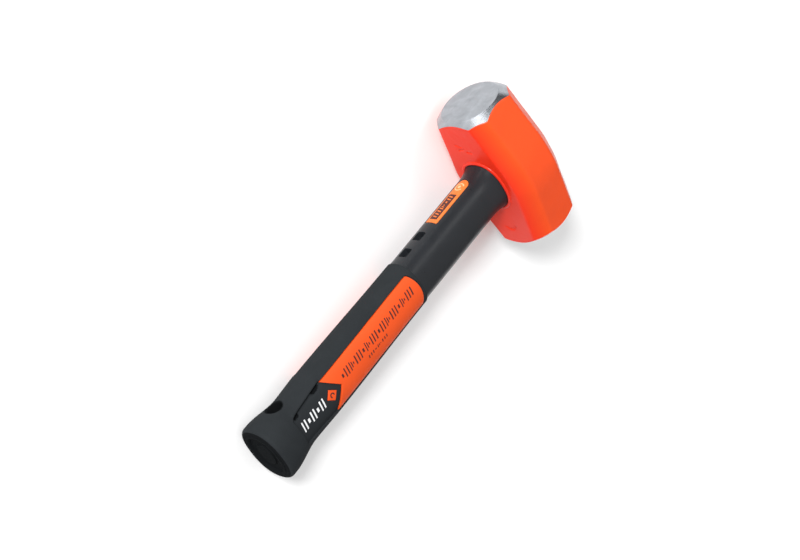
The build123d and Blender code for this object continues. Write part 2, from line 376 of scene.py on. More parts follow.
def group_tree(name, inputs, outputs):
    """New shader node group with float inputs and outputs, and its two end nodes."""
    tree = bpy.data.node_groups.new(name, "ShaderNodeTree")
    tree.interface.new_socket("Vector", in_out="INPUT", socket_type="NodeSocketVector")
    for label, default in inputs.items():
        socket = tree.interface.new_socket(label, in_out="INPUT", socket_type="NodeSocketFloat")
        socket.default_value = default
    for label in outputs:
        tree.interface.new_socket(label, in_out="OUTPUT", socket_type="NodeSocketFloat")
    return tree, tree.nodes.new("NodeGroupInput"), tree.nodes.new("NodeGroupOutput")


def math_node(tree, operation, first, second=0.0, clamp=False):
    """Math node fed by sockets or numbers. Returns its output."""
    node = tree.nodes.new("ShaderNodeMath")
    node.operation = operation
    node.use_clamp = clamp
    for socket, value in zip(node.inputs, (first, second)):
        if isinstance(value, bpy.types.NodeSocket):
            tree.links.new(value, socket)
        else:
            socket.default_value = value
    return node.outputs[0]


def noise_node(tree, vector, scale, detail=4.0, roughness=0.5, distortion=0.0):
    """Noise texture. Returns its factor."""
    node = tree.nodes.new("ShaderNodeTexNoise")
    tree.links.new(vector, node.inputs["Vector"])
    if isinstance(scale, bpy.types.NodeSocket):
        tree.links.new(scale, node.inputs["Scale"])
    else:
        node.inputs["Scale"].default_value = scale
    node.inputs["Detail"].default_value = detail
    node.inputs["Roughness"].default_value = roughness
    node.inputs["Distortion"].default_value = distortion
    return node.outputs["Fac"]


def range_node(tree, value, low, high, to_low=0.0, to_high=1.0):
    """Map Range node, clamped. Returns its result."""
    node = tree.nodes.new("ShaderNodeMapRange")
    tree.links.new(value, node.inputs["Value"])
    for label, number in zip(("From Min", "From Max", "To Min", "To Max"), (low, high, to_low, to_high)):
        node.inputs[label].default_value = number
    return node.outputs["Result"]


def build_grain_group():
    """Fine moulded grain: pits and pebbles of one size. Height is about 0 to 1."""
    tree, start, end = group_tree("Moulded grain", {"Scale": 1500.0, "Pebble": 0.5}, ["Height"])
    cells = tree.nodes.new("ShaderNodeTexVoronoi")
    cells.feature = "SMOOTH_F1"
    tree.links.new(start.outputs["Vector"], cells.inputs["Vector"])
    tree.links.new(start.outputs["Scale"], cells.inputs["Scale"])
    fine = noise_node(tree, start.outputs["Vector"], start.outputs["Scale"], 3.0, 0.6)
    pebbles = math_node(tree, "MULTIPLY", cells.outputs["Distance"], start.outputs["Pebble"])
    tree.links.new(math_node(tree, "ADD", pebbles, fine), end.inputs["Height"])


def build_mottle_group():
    """Slow change over a surface, from handling and moulding. Fac is 0 to 1."""
    tree, start, end = group_tree("Mottle", {"Scale": 40.0, "Contrast": 1.0}, ["Fac"])
    coarse = noise_node(tree, start.outputs["Vector"], start.outputs["Scale"], 5.0, 0.55, 0.6)
    centred = math_node(tree, "SUBTRACT", coarse, 0.5)
    spread = math_node(tree, "MULTIPLY", centred, start.outputs["Contrast"])
    tree.links.new(math_node(tree, "ADD", spread, 0.5, clamp=True), end.inputs["Fac"])


def build_wear_group():
    """Wear on outward edges, broken up by noise. Mask is 0 to 1."""
    tree, start, end = group_tree("Edge wear", {"Amount": 0.5, "Scale": 300.0}, ["Mask"])
    geometry = tree.nodes.new("ShaderNodeNewGeometry")
    edge = range_node(tree, geometry.outputs["Pointiness"], 0.51, 0.60)
    patchy = noise_node(tree, start.outputs["Vector"], start.outputs["Scale"], 6.0, 0.65)
    broken = range_node(tree, patchy, 0.45, 0.65)
    worn = math_node(tree, "MULTIPLY", edge, broken)
    worn = math_node(tree, "MULTIPLY", worn, start.outputs["Amount"], clamp=True)
    tree.links.new(worn, end.inputs["Mask"])


def build_scratch_group():
    """Fine grinding lines across one direction, with a few deeper ones. Both are 0 to 1."""
    tree, start, end = group_tree("Grinding lines", {"Scale": 60.0, "Stretch": 40.0}, ["Height", "Deep"])
    stretch = tree.nodes.new("ShaderNodeCombineXYZ")
    for axis in (0, 1):
        stretch.inputs[axis].default_value = 1.0
    tree.links.new(start.outputs["Stretch"], stretch.inputs[2])
    scaled = tree.nodes.new("ShaderNodeVectorMath")
    scaled.operation = "MULTIPLY"
    tree.links.new(start.outputs["Vector"], scaled.inputs[0])
    tree.links.new(stretch.outputs[0], scaled.inputs[1])
    lines = noise_node(tree, scaled.outputs[0], start.outputs["Scale"], 6.0, 0.7)
    tree.links.new(lines, end.inputs["Height"])
    deep = noise_node(tree, scaled.outputs[0], math_node(tree, "MULTIPLY", start.outputs["Scale"], 0.6), 2.0)
    tree.links.new(range_node(tree, deep, 0.66, 0.72), end.inputs["Deep"])


class Finish:
    """One material under construction: a Principled shader and helpers around it."""

    def __init__(self, name):
        self.material = bpy.data.materials.new(f"finish_{name}")
        self.material.use_nodes = True
        self.tree = self.material.node_tree
        self.shader = self.tree.nodes["Principled BSDF"]
        coordinates = self.tree.nodes.new("ShaderNodeTexCoord")
        self.place = coordinates.outputs["Object"]

    def group(self, name, **values):
        """Places a shared node group with its own values. Returns its outputs."""
        node = self.tree.nodes.new("ShaderNodeGroup")
        node.node_tree = bpy.data.node_groups[name]
        self.tree.links.new(self.place, node.inputs["Vector"])
        for label, value in values.items():
            node.inputs[label].default_value = value
        return node.outputs

    def set(self, **values):
        """Sets constants on the shader's own sockets."""
        for label, value in values.items():
            socket = label.replace("_", " ").title().replace("Ior", "IOR")
            self.shader.inputs[socket].default_value = value

    def mix(self, factor, first, second):
        """Colour between two colours or colour sockets."""
        node = self.tree.nodes.new("ShaderNodeMix")
        node.data_type = "RGBA"
        self.tree.links.new(factor, node.inputs["Factor"])
        for label, value in (("A", first), ("B", second)):
            socket = next(s for s in node.inputs if s.name == label and s.type == "RGBA")
            if isinstance(value, bpy.types.NodeSocket):
                self.tree.links.new(value, socket)
            else:
                socket.default_value = (*value, 1.0)
        return next(s for s in node.outputs if s.type == "RGBA")

    def feed(self, label, socket):
        """Links something that changes over the surface to the shader."""
        self.tree.links.new(socket, self.shader.inputs[label])

    def bump(self, height, distance, strength):
        """Turns a height into the shader's normal."""
        node = self.tree.nodes.new("ShaderNodeBump")
        node.inputs["Strength"].default_value = strength
        node.inputs["Distance"].default_value = distance
        self.tree.links.new(height, node.inputs["Height"])
        self.feed("Normal", node.outputs["Normal"])

    def above(self, axis, low, high):
        """Mask that rises from 0 to 1 between two places along one axis of the hammer."""
        split = self.tree.nodes.new("ShaderNodeSeparateXYZ")
        self.tree.links.new(self.place, split.inputs[0])
        return range_node(self.tree, split.outputs[axis], low, high)

    def gloss(self, mottle, least, most):
        """Roughness that follows the mottle between two values."""
        self.feed("Roughness", range_node(self.tree, mottle, 0.2, 0.8, least, most))


def shade(colour_value, factor):
    """A colour made lighter or darker."""
    return tuple(min(1.0, channel * factor) for channel in colour_value)


def enamel_finish(name):
    """Orange enamel over a forging: slightly uneven, with painted shade that turns its underside near the
    handle a deeper red, chipped at edges.
    """
    colours = bpy.context.scene.hammer_colours
    finish = Finish(name)
    mottle = finish.group("Mottle", Scale=38.0, Contrast=1.6)["Fac"]
    wear = finish.group("Edge wear", Amount=0.5, Scale=420.0)["Mask"]
    coated = finish.mix(mottle, colours.enamel, shade(colours.enamel, 0.9))
    # Painted shade: over the last 10 mm towards the underside, the enamel turns to the deeper red of its
    # shaded side.
    underside_shade = finish.above(1, underside_y() + 9 * MM, underside_y() - MM)
    paint = finish.mix(underside_shade, coated, colours.enamel_underside_shade)
    finish.feed("Base Color", finish.mix(wear, paint, shade(colours.enamel_underside_shade, 0.55)))
    finish.gloss(mottle, 0.30, 0.42)
    finish.set(coat_weight=0.12, coat_roughness=0.2, specular_ior_level=0.22)
    peel = finish.group("Moulded grain", Scale=420.0, Pebble=0.3)["Height"]
    finish.bump(peel, 0.00006, 0.5)
    return finish.material


def steel_finish(name, smooth, rough):
    """Ground striking steel with fine lines and a few scratches, between two roughnesses."""
    colours = bpy.context.scene.hammer_colours
    finish = Finish(name)
    lines = finish.group("Grinding lines", Scale=90.0, Stretch=30.0)
    mottle = finish.group("Mottle", Scale=130.0, Contrast=2.2)["Fac"]
    base = finish.mix(mottle, shade(colours.steel, 1.12), shade(colours.steel, 0.80))
    finish.feed("Base Color", finish.mix(lines["Deep"], base, shade(colours.steel, 0.6)))
    finish.feed("Roughness", range_node(finish.tree, lines["Height"], 0.3, 0.7, smooth, rough))
    finish.set(metallic=1.0)
    finish.bump(lines["Height"], 0.00003, 0.5)
    return finish.material


def plate_finish(name, base, roughness):
    """Dull plated or bare steel of the inner parts."""
    finish = Finish(name)
    mottle = finish.group("Mottle", Scale=420.0, Contrast=1.3)["Fac"]
    finish.feed("Base Color", finish.mix(mottle, base, shade(base, 0.75)))
    finish.gloss(mottle, roughness, roughness + 0.18)
    finish.set(metallic=1.0)
    grain = finish.group("Moulded grain", Scale=900.0, Pebble=0.4)["Height"]
    finish.bump(grain, 0.00004, 0.5)
    return finish.material


def rubber_finish(name, base, roughness, shine, grain_scale, grain_depth):
    """Black rubber: mottled by handling, greyer on worn edges, with a moulded grain."""
    finish = Finish(name)
    mottle = finish.group("Mottle", Scale=45.0, Contrast=1.5)["Fac"]
    wear = finish.group("Edge wear", Amount=0.35, Scale=500.0)["Mask"]
    rubber = finish.mix(mottle, base, shade(base, 1.35))
    finish.feed("Base Color", finish.mix(wear, rubber, shade(base, 2.6)))
    finish.gloss(mottle, roughness, roughness + 0.1)
    finish.set(specular_ior_level=shine)
    grain = finish.group("Moulded grain", Scale=grain_scale, Pebble=0.8)["Height"]
    finish.bump(grain, grain_depth, 0.6)
    return finish.material


def orange_finish(name, orange, roughness):
    """Orange rubber of the inlays and badges, or the film of the labels."""
    finish = Finish(name)
    mottle = finish.group("Mottle", Scale=55.0, Contrast=1.2)["Fac"]
    wear = finish.group("Edge wear", Amount=0.5, Scale=500.0)["Mask"]
    base = finish.mix(mottle, orange, shade(orange, 0.86))
    finish.feed("Base Color", finish.mix(wear, base, shade(orange, 0.6)))
    finish.gloss(mottle, roughness, roughness + 0.12)
    finish.set(specular_ior_level=0.25)
    grain = finish.group("Moulded grain", Scale=1600.0, Pebble=0.4)["Height"]
    finish.bump(grain, 0.00004, 0.5)
    return finish.material


def print_finish(name, base, roughness):
    """Pad print: thin ink, a little uneven."""
    finish = Finish(name)
    mottle = finish.group("Mottle", Scale=700.0, Contrast=1.4)["Fac"]
    finish.feed("Base Color", finish.mix(mottle, base, shade(base, 0.78)))
    finish.gloss(mottle, roughness, roughness + 0.15)
    return finish.material


MATERIALS = {}


def finishes():
    """Every finish of the hammer by name, built once."""
    if MATERIALS:
        return MATERIALS
    colours = bpy.context.scene.hammer_colours
    for build in (build_grain_group, build_mottle_group, build_wear_group, build_scratch_group):
        build()
    # Painted shade: a much darker copy of the grip rubber for the butt face, the lanyard hole and the
    # sockets.
    shaded_grip_colour = shade(colours.rubber_grip, 0.35)
    nylon = shade(colours.rubber_shank, 0.7)
    recipes = {
        "head_enamel": (enamel_finish,),
        "ground_steel": (steel_finish, 0.26, 0.44),
        "bevel_steel": (steel_finish, 0.14, 0.26),
        "plate_steel": (plate_finish, colours.plate, 0.38),
        "core_steel": (plate_finish, shade(colours.plate, 1.7), 0.28),
        "shank_rubber": (rubber_finish, colours.rubber_shank, 0.27, 0.26, 900.0, 0.00003),
        "grip_rubber": (rubber_finish, colours.rubber_grip, 0.60, 0.025, 1300.0, 0.00012),
        "butt_rubber": (rubber_finish, shaded_grip_colour, 0.65, 0.012, 1300.0, 0.00012),
        "comb_nylon": (rubber_finish, nylon, 0.5, 0.3, 900.0, 0.00003),
        "inlay_orange": (orange_finish, colours.inlay, 0.42),
        "label_orange": (orange_finish, colours.label, 0.36),
        "badge_orange": (orange_finish, colours.inlay, 0.40),
        "print_dark": (print_finish, colours.print_dark, 0.45),
        "print_white": (print_finish, colours.print_white, 0.45),
        "print_cream": (print_finish, colours.print_cream, 0.45),
    }
    for name, (recipe, *values) in recipes.items():
        MATERIALS[name] = recipe(name, *values)
    return MATERIALS


def repaint(node, name):
    """Gives a CAD node one of the finishes."""
    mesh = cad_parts[node].data
    mesh.materials.clear()
    mesh.materials.append(finishes()[name])


# ---------------------------------------------------------------- head

# How deep a rounding of unit radius cuts into an edge that turns by 45 degrees.
EDGE_CUT = 1 / math.cos(math.radians(22.5)) - 1

# Places of the rings from the rim to the face over the bevel, then from the face's edge to its middle.
BEVEL_SHARES = (0.0, 0.06, 0.15, 0.35, 0.6, 0.85, 0.95, 1.0)
FACE_SHARES = (0.985, 0.96, 0.9, 0.8, 0.68, 0.55, 0.42, 0.3, 0.18, 0.08)

# The paint rolls in at the ground ends and stops just short of them.
PAINT_ROLL = 0.35 * MM
PAINT_GAP = 0.15 * MM

# Stamped bars on the underside, in millimetres: place along the head, place across, half height, slant.
STAMPED_BARS = ((-35.5, -5.0, 1.9, 0.9), (-32.2, -4.2, 1.9, -0.5), (-30.0, 2.6, 1.7, 0.4))
STAMP_WIDTH = 0.6 * MM
STAMP_DEPTH = 0.75 * MM
STAMPED_ARC_X = 36.0 * MM
STAMPED_ARC_RADIUS = 5.0 * MM

# Section of the lip round the eye, as distances outwards and down the handle, in millimetres.
LIP_SECTION = (
    (2.2, -0.7), (2.2, 0.15), (1.75, 0.62), (1.2, 0.88), (0.6, 0.9), (0.15, 0.72), (0.0, 0.3), (0.0, -0.7),
)


def head_half_height(x):
    """Half height of the head across its cheeks: straight flanks, tangent arcs, flat crest."""
    sizes = bpy.context.scene.hammer_head
    top = HEAD_HALF_HEIGHT
    along = HEAD_HALF_LENGTH - sizes.crest_flat / 2
    up = sizes.crest_radius - (top - sizes.square / 2)
    turn = math.atan2(up, along) + math.acos(sizes.crest_radius / math.hypot(along, up))
    tangent = sizes.crest_radius * math.cos(turn)
    past_flat = np.maximum(np.abs(x) - sizes.crest_flat / 2, 0.0)
    on_arc = np.minimum(past_flat, tangent)
    arc_drop = sizes.crest_radius - np.sqrt(sizes.crest_radius**2 - on_arc**2)
    return top - arc_drop - (past_flat - on_arc) / math.tan(turn)


def octagon_radius(x, across, up):
    """Distance from the head's axis to its rounded octagon, in a direction across it."""
    sizes = bpy.context.scene.hammer_head
    half_y = sizes.square / 2
    half_z = head_half_height(x)
    corner = math.hypot(half_y, half_y - sizes.chamfer)
    power = math.log(2) * corner / (EDGE_CUT * sizes.edge_radius)
    flats = np.abs(across) / half_y
    cheeks = np.abs(up) / half_z
    corners = (np.abs(across) + np.abs(up)) / (half_y + half_z - sizes.chamfer)
    return (flats**power + cheeks**power + corners**power) ** (-1 / power)


def stamped_depth(x, z):
    """Depth of the forging marks stamped into the head's underside: short bars and an arc."""
    marks = np.zeros_like(x)
    for bar_x, bar_z, half, slant in STAMPED_BARS:
        along = np.clip(z / MM - bar_z, -half, half)
        nearest = np.hypot(x - (bar_x + slant * along / half) * MM, z - (bar_z + along) * MM)
        marks = np.maximum(marks, smooth_step(1.6 - nearest / STAMP_WIDTH))
    ring = np.abs(np.hypot(x - STAMPED_ARC_X, z) - STAMPED_ARC_RADIUS)
    arc = np.hypot(ring, np.maximum(STAMPED_ARC_X + 0.5 * STAMPED_ARC_RADIUS - x, 0.0))
    marks = np.maximum(marks, smooth_step(1.6 - arc / STAMP_WIDTH))
    return STAMP_DEPTH * marks


def forged_waviness(points):
    """Slow unevenness of a forged and painted surface, for every point."""
    slow = np.array([noise.noise(Vector(p) * 90.0) for p in points])
    fine = np.array([noise.noise(Vector(p) * 320.0) for p in points])
    return (0.16 * slow + 0.05 * fine) * MM


def end_rings(rim):
    """Distances along and across the head of the rings of one end, from its octagonal rim to its middle."""
    sizes = bpy.context.scene.hammer_head
    radii = [rim + share * (sizes.face_radius - rim) for share in BEVEL_SHARES]
    rings = [(HEAD_HALF_LENGTH - sizes.bevel_slope * (r - sizes.face_radius), r) for r in radii]
    radii = [np.full(len(rim), sizes.face_radius * share) for share in FACE_SHARES]
    rings += [(np.full(len(rim), HEAD_HALF_LENGTH), r) for r in radii]
    return [(x - sizes.crown * np.minimum(r / sizes.face_radius, 1.0) ** 2, r) for x, r in rings]


def build_head():
    """Head: painted octagonal body, ground bevels and crowned striking faces."""
    sizes = bpy.context.scene.hammer_head
    columns, body_rings = 320, 190
    angles = round_angles(columns)
    across, up = np.cos(angles), np.sin(angles)
    centre = np.array([0.0, (HEAD_HIGH.y + underside_y()) / 2, AXIS_Z])
    reach = np.full(columns, HEAD_HALF_LENGTH)
    for _ in range(6):
        rim = octagon_radius(reach, across, up)
        reach = HEAD_HALF_LENGTH - sizes.bevel_slope * (rim - sizes.face_radius)

    def ring(x, radius):
        return centre + np.column_stack([x, radius * across, radius * up])

    ends = end_rings(rim)
    rings = [ring(-x, radius) for x, radius in reversed(ends)]
    first_body = len(rings)
    for share in np.linspace(-1, 1, body_rings):
        edge = PAINT_ROLL * smooth_step((abs(share) - 0.994) / 0.006)
        x = share * (reach - sizes.crown - PAINT_GAP)
        rings.append(ring(x, octagon_radius(x, across, up) - edge))
    last_body = len(rings)
    rings += [ring(x, radius) for x, radius in ends]
    body = np.vstack(rings[first_body:last_body])
    outwards = np.tile(np.column_stack([np.zeros(columns), across, up]), (body_rings, 1))
    dents = stamped_depth(body[:, 0], body[:, 2] - AXIS_Z)
    dents = dents * (outwards[:, 1] < 0) * smooth_step((underside_y() + MM - body[:, 1]) / MM * 4)
    moved = body + outwards * (forged_waviness(body) - dents)[:, None]
    for i in range(body_rings):
        rings[first_body + i] = moved[i * columns:(i + 1) * columns]
    piece = ring_object("head_forging", rings, finishes()["head_enamel"])
    for name in ("ground_steel", "bevel_steel"):
        piece.data.materials.append(finishes()[name])
    enamel, face_steel, bevel_steel = range(3)
    bevel = (len(BEVEL_SHARES) - 2) * columns
    painted = slice((first_body - 1) * columns, last_body * columns)
    surface = np.full(len(piece.data.polygons), face_steel, dtype=np.int32)
    surface[painted.start - bevel:painted.stop + bevel] = bevel_steel
    surface[painted] = enamel
    piece.data.polygons.foreach_set("material_index", surface)
    seat_sides = (HEAD_HIGH.y - sizes.plate_seat, HEAD_HIGH.y + 2 * MM)
    seat = [oval_ring(round_angles(160), sizes.plate_x, sizes.plate_z, y) for y in seat_sides]
    cut_out(piece, ring_object("seat_cutter", seat, finishes()["head_enamel"]))
    place_piece(piece, "head_paint", 30, "head")


def build_eye_lip():
    """Raised lip around the mouth of the eye, as one rounded ring."""
    sizes = bpy.context.scene.hammer_head
    columns = 200
    widest = max(outwards for outwards, _ in LIP_SECTION)
    highest = max(height for _, height in LIP_SECTION)
    points = []
    for outwards, height in LIP_SECTION:
        grow = outwards / widest * sizes.lip_width
        y = underside_y() - height / highest * sizes.lip_height
        points.append(oval_ring(round_angles(columns), sizes.eye_x + grow, sizes.eye_z + grow, y))
    polygons = []
    for row in range(len(LIP_SECTION)):
        polygons += band_polygons(row * columns, (row + 1) % len(LIP_SECTION) * columns, columns)
    piece = mesh_object("eye_lip", np.vstack(points), polygons, finishes()["head_enamel"])
    place_piece(piece, "head_paint", 50)


# ---------------------------------------------------------------- shank and grip

# Half sizes of the shank inside the eye: under the locking plate, at the eye's waist, above its mouth.
EYE_PLUG = ((17.96 * MM, 14.76 * MM), (16.76 * MM, 13.56 * MM), (19.1 * MM, 15.9 * MM))

# Windows in the shank's narrow faces, and how far the comb's end stands out of their floor.
WINDOW_HALF_WIDTH = 3.4 * MM
WINDOW_HALF_LENGTH = 3.6 * MM
WINDOW_CORNER = 0.8 * MM
COMB_STANDOUT = 0.6 * MM

# Depths of the seats that the labels and badges lie in.
LABEL_RECESS = 0.9 * MM
BADGE_SEAT = 0.6 * MM

# The ridge, channel and sockets beside the panel, in millimetres. Each socket has the depth of its
# middle and its half length.
SOCKETS = ((204.0, 4.5), (226.0, 3.0))
SOCKET_DEPTH = 2.2
RIDGE_HEIGHT = 0.7
CHANNEL_DEPTH = 1.5

# Rings of the butt face, in millimetres: half width, half thickness and height above the butt.
BUTT_RELIEF = (
    (18.0, 14.2, 0.0), (17.4, 13.6, 0.0), (17.0, 13.2, 0.5), (16.2, 12.4, 0.6), (15.6, 11.8, 0.5),
    (15.2, 11.3, 0.0), (14.9, 11.0, -0.4), (14.6, 10.7, -1.1), (14.2, 10.3, -1.3), (9.0, 6.5, -1.3),
    (8.6, 6.1, -0.45), (7.8, 5.4, -0.4), (4.0, 2.7, -0.4),
)
GRIP_FRONT_RADIUS = 0.7 * MM
HOLE_MOUTH_RADIUS = 1.3 * MM

# The walls of the panels and badge seats lean over this distance.
WALL_LEAN = 0.45 * MM
SEAT_LEAN = 0.4 * MM


def corner_distance(first, second, radius):
    """Distance inside two straight borders whose corner is rounded."""
    rounded = radius - np.hypot(radius - first, radius - second)
    return np.where((first < radius) & (second < radius), rounded, np.minimum(first, second))


def panel_distance(x, depth):
    """Distance inside the side panel's outline. It is negative outside."""
    sizes = bpy.context.scene.hammer_panel
    taper = smooth_line(depth, sizes.tip_depth, sizes.end_depth)
    half_width = sizes.half_width + taper * (sizes.end_half_width - sizes.half_width)
    top = top_arc(x)
    side = half_width - np.abs(x)
    upper = corner_distance(side, depth - top, sizes.corner)
    lower = corner_distance(side, sizes.end_depth - depth, sizes.corner)
    return np.minimum(upper, lower)


def smooth_line(value, low, high):
    """Straight rise from 0 to 1 between two values."""
    return np.clip((value - low) / (high - low), 0.0, 1.0)


def top_arc(x):
    """Depth of the panel's curved upper end."""
    sizes = bpy.context.scene.hammer_panel
    radius = (sizes.half_width**2 + sizes.top_sag**2) / (2 * sizes.top_sag)
    return sizes.top_depth + radius - np.sqrt(radius**2 - np.minimum(np.abs(x), sizes.half_width) ** 2)


def label_distance(z, depth):
    """Distance inside the label's outline: round at the upper end, square at the other."""
    sizes = bpy.context.scene.hammer_panel
    centre = sizes.label_top + sizes.label_half_width
    round_end = sizes.label_half_width - np.hypot(z, np.minimum(depth - centre, 0.0))
    square_end = corner_distance(sizes.label_half_width - np.abs(z), sizes.label_end - depth, 0.5 * MM)
    return np.minimum(round_end, square_end)


def build_shank():
    """Shank: fills the eye, flares out under the head, holds labels and windows on its narrow faces."""
    head = bpy.context.scene.hammer_head
    panel = bpy.context.scene.hammer_panel
    angles = round_angles(256)
    combs = [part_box("rod_comb_upper"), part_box("rod_comb_lower")]
    windows = [underside_y() - (low.y + high.y) / 2 for low, high in combs]
    window_floor = combs[0][1].x - COMB_STANDOUT
    eye_heights = (HEAD_HIGH.y - head.plate_seat, underside_y() + head.square / 2, underside_y() + MM)
    rings = [oval_ring(angles, *half_sizes, y) for y, half_sizes in zip(eye_heights, EYE_PLUG)]
    end_depth = underside_y() - GRIP_HIGH.y + 4 * MM
    for depth in np.linspace(0.0, end_depth, 210):
        half_x, half_z = shank_half_sizes(depth)
        ring = oval_ring(angles, half_x, half_z, underside_y() - depth)
        z = ring[:, 2] - AXIS_Z
        label = smooth_step((label_distance(z, depth) + SEAT_LEAN) / SEAT_LEAN)
        floor = oval_other(z, half_z - LABEL_RECESS, half_x - LABEL_RECESS)
        reach = np.abs(ring[:, 0]) + label * (floor - np.abs(ring[:, 0]))
        narrow = np.abs(z) < panel.label_half_width + 2 * panel.groove
        reach = np.where(narrow, reach, np.abs(ring[:, 0]))
        for middle in windows:
            along = WINDOW_HALF_LENGTH - abs(depth - middle)
            edge = corner_distance(WINDOW_HALF_WIDTH - np.abs(z), along, WINDOW_CORNER)
            open_share = smooth_step((edge + SEAT_LEAN / 2) / SEAT_LEAN)
            reach = reach + open_share * (np.minimum(window_floor, reach) - reach)
        ring[:, 0] = np.sign(ring[:, 0]) * reach
        rings.append(ring)
    piece = ring_object("shank_moulding", rings, finishes()["shank_rubber"])
    place_piece(piece, "shank_rubber", 40, "shank")


def socket_share(x, depth):
    """1 in the two moulded sockets inside the panel's front border, 0 away from them."""
    inside = panel_distance(x, depth)
    share = np.zeros_like(x)
    for middle, half_length in SOCKETS:
        across = (inside - 1.5 * MM) / (1.7 * MM)
        along = (depth - middle * MM) / (half_length * MM)
        share = np.maximum(share, smooth_step(1.6 - 1.4 * np.hypot(across, along)))
    return share * (x < 0)


def hump(inside, middle, width):
    """1 at a line along the panel's border, falling to 0 on both sides, in millimetres."""
    return np.exp(-(((inside - middle * MM) / (width * MM)) ** 2))


def side_ridge(x, depth):
    """Height of the ridge beside the panel's front border, and of the channel and sockets inside it."""
    sizes = bpy.context.scene.hammer_panel
    inside = panel_distance(x, depth)
    reach = smooth_line(depth, sizes.tip_depth - MM, sizes.tip_depth + 2 * MM)
    reach = reach * smooth_line(depth, sizes.end_depth - MM, sizes.end_depth - 3 * MM) * (x < 0)
    ridge = RIDGE_HEIGHT * hump(inside, -1.9, 1.3)
    channel = CHANNEL_DEPTH * hump(inside, 0.5, 0.9)
    return reach * (ridge - channel - SOCKET_DEPTH * socket_share(x, depth)) * MM


def paint_shade_on_butt_and_hollows(piece):
    """Gives the butt face, the lanyard hole and the sockets a much darker copy of the grip rubber: painted
    shade where little light reaches.
    """
    handle = bpy.context.scene.hammer_handle
    piece.data.materials.clear()
    for name in ("grip_rubber", "butt_rubber"):
        piece.data.materials.append(finishes()[name])
    x, y, z = np.array([polygon.center for polygon in piece.data.polygons]).T
    z = z - AXIS_Z
    depth = underside_y() - y
    in_hole = np.hypot(depth - handle.lanyard_depth, z) < handle.lanyard_radius + 0.9 * MM
    on_butt = y < GRIP_LOW.y + 0.4 * MM
    relief_x, relief_z, _ = BUTT_RELIEF[0]
    within = np.hypot(x / (relief_x + 0.2), z / (relief_z + 0.2)) < MM
    in_butt = within & (y < GRIP_LOW.y + 2 * MM)
    in_socket = (socket_share(x, depth) > 0.35) & (np.abs(z) > 8 * MM)
    # Painted shade: these polygons take the darker copy of the rubber in place of the shade that falls
    # there.
    dark = in_hole | on_butt | in_butt | in_socket
    piece.data.polygons.foreach_set("material_index", dark.astype(np.int32))


def lanyard_hole():
    """Cutter for the lanyard hole, rounded where it meets the grip's sides."""
    handle = bpy.context.scene.hammer_handle
    angles = round_angles(96)
    wall = grip_half_width(handle.lanyard_depth)
    rings = []
    for x in np.linspace(-24 * MM, 24 * MM, 97):
        mouth = min(max(1 - (wall - 0.2 * MM - abs(x)) / (1.6 * MM), 0.0), 1.0)
        radius = handle.lanyard_radius + HOLE_MOUTH_RADIUS * (1 - math.sqrt(1 - mouth**2))
        y = underside_y() - handle.lanyard_depth - radius * np.cos(angles)
        rings.append(np.column_stack([np.full(len(y), x), y, AXIS_Z + radius * np.sin(angles)]))
    return ring_object("hole_cutter", rings, finishes()["grip_rubber"])


def build_grip():
    """Grip: swelling rubber body with side panels, badge seats, rounded butt and lanyard hole."""
    handle = bpy.context.scene.hammer_handle
    panel = bpy.context.scene.hammer_panel
    angles = round_angles(320)
    front = underside_y() - GRIP_HIGH.y
    butt = underside_y() - GRIP_LOW.y
    ratio = handle.section_ratio
    front_radius = GRIP_FRONT_RADIUS
    stations = [(front + 2 * MM, 2.2 * MM), (front + 0.1 * MM, 2.0 * MM), (front, front_radius)]
    for turn in np.linspace(0, math.pi / 2, 6)[1:]:
        inset = front_radius * (1 - math.sin(turn))
        stations.append((front + front_radius * (1 - math.cos(turn)), inset))
    for depth in np.linspace(front + front_radius, butt - handle.rim_radius, 280)[1:]:
        stations.append((depth, 0.0))
    for turn in np.linspace(0, math.pi / 2, 10)[1:]:
        inset = handle.rim_radius * (1 - math.cos(turn))
        stations.append((butt - handle.rim_radius * (1 - math.sin(turn)), inset))
    rings = []
    for depth, inset in stations:
        half_x = grip_half_width(min(depth, butt)) - inset
        half_z = grip_half_width(min(depth, butt)) * ratio - inset
        ring = oval_ring(angles, half_x, half_z, underside_y() - depth)
        x = ring[:, 0]
        recess = panel.recess * smooth_step((panel_distance(x, depth) + 0.1 * MM) / WALL_LEAN)
        from_corner = panel.badge_side / math.sqrt(2) - np.abs(x) - abs(depth - panel.badge_depth)
        recess += BADGE_SEAT * smooth_step((from_corner / math.sqrt(2) + SEAT_LEAN / 2) / SEAT_LEAN)
        recess -= side_ridge(x, depth)
        wide = (np.abs(x) < panel.half_width + 3.5 * MM) & (inset == 0.0)
        z = ring[:, 2] - AXIS_Z
        sunk = oval_other(x, half_x - recess, half_z - recess)
        ring[:, 2] = AXIS_Z + np.where(wide, np.sign(z) * sunk, z)
        rings.append(ring)
    for half_x, half_z, height in BUTT_RELIEF:
        rings.append(oval_ring(angles, half_x * MM, half_z * MM, GRIP_LOW.y - height * MM))
    piece = ring_object("grip_moulding", rings, finishes()["grip_rubber"])
    cut_out(piece, lanyard_hole())
    paint_shade_on_butt_and_hollows(piece)
    place_piece(piece, "grip_rubber", 40, "grip")


# ---------------------------------------------------------------- inlays, labels, badges, marks

# Rounded borders of the inlays, labels and badges, and their extra grid lines in millimetres.
EDGE_ROUNDING = 0.42 * MM
EDGE_SPOTS = (0.0, 0.06, 0.14, 0.26, 0.42)

# How far these pieces lie below the surface round them, and stay above the floor of their seats.
SURFACE_INSET = 0.05 * MM
BED_GAP = 0.02 * MM

# How deep a printed film reaches, in millimetres.
FILM = 0.12


def edge_steps(span, count):
    """Steps from 0 to 1 over a span, with extra ones close to both ends for a rounded edge."""
    near = np.array(EDGE_SPOTS) * MM / span
    return np.concatenate([near, np.linspace(near[-1], 1 - near[-1], count)[1:-1], 1 - near[::-1]])


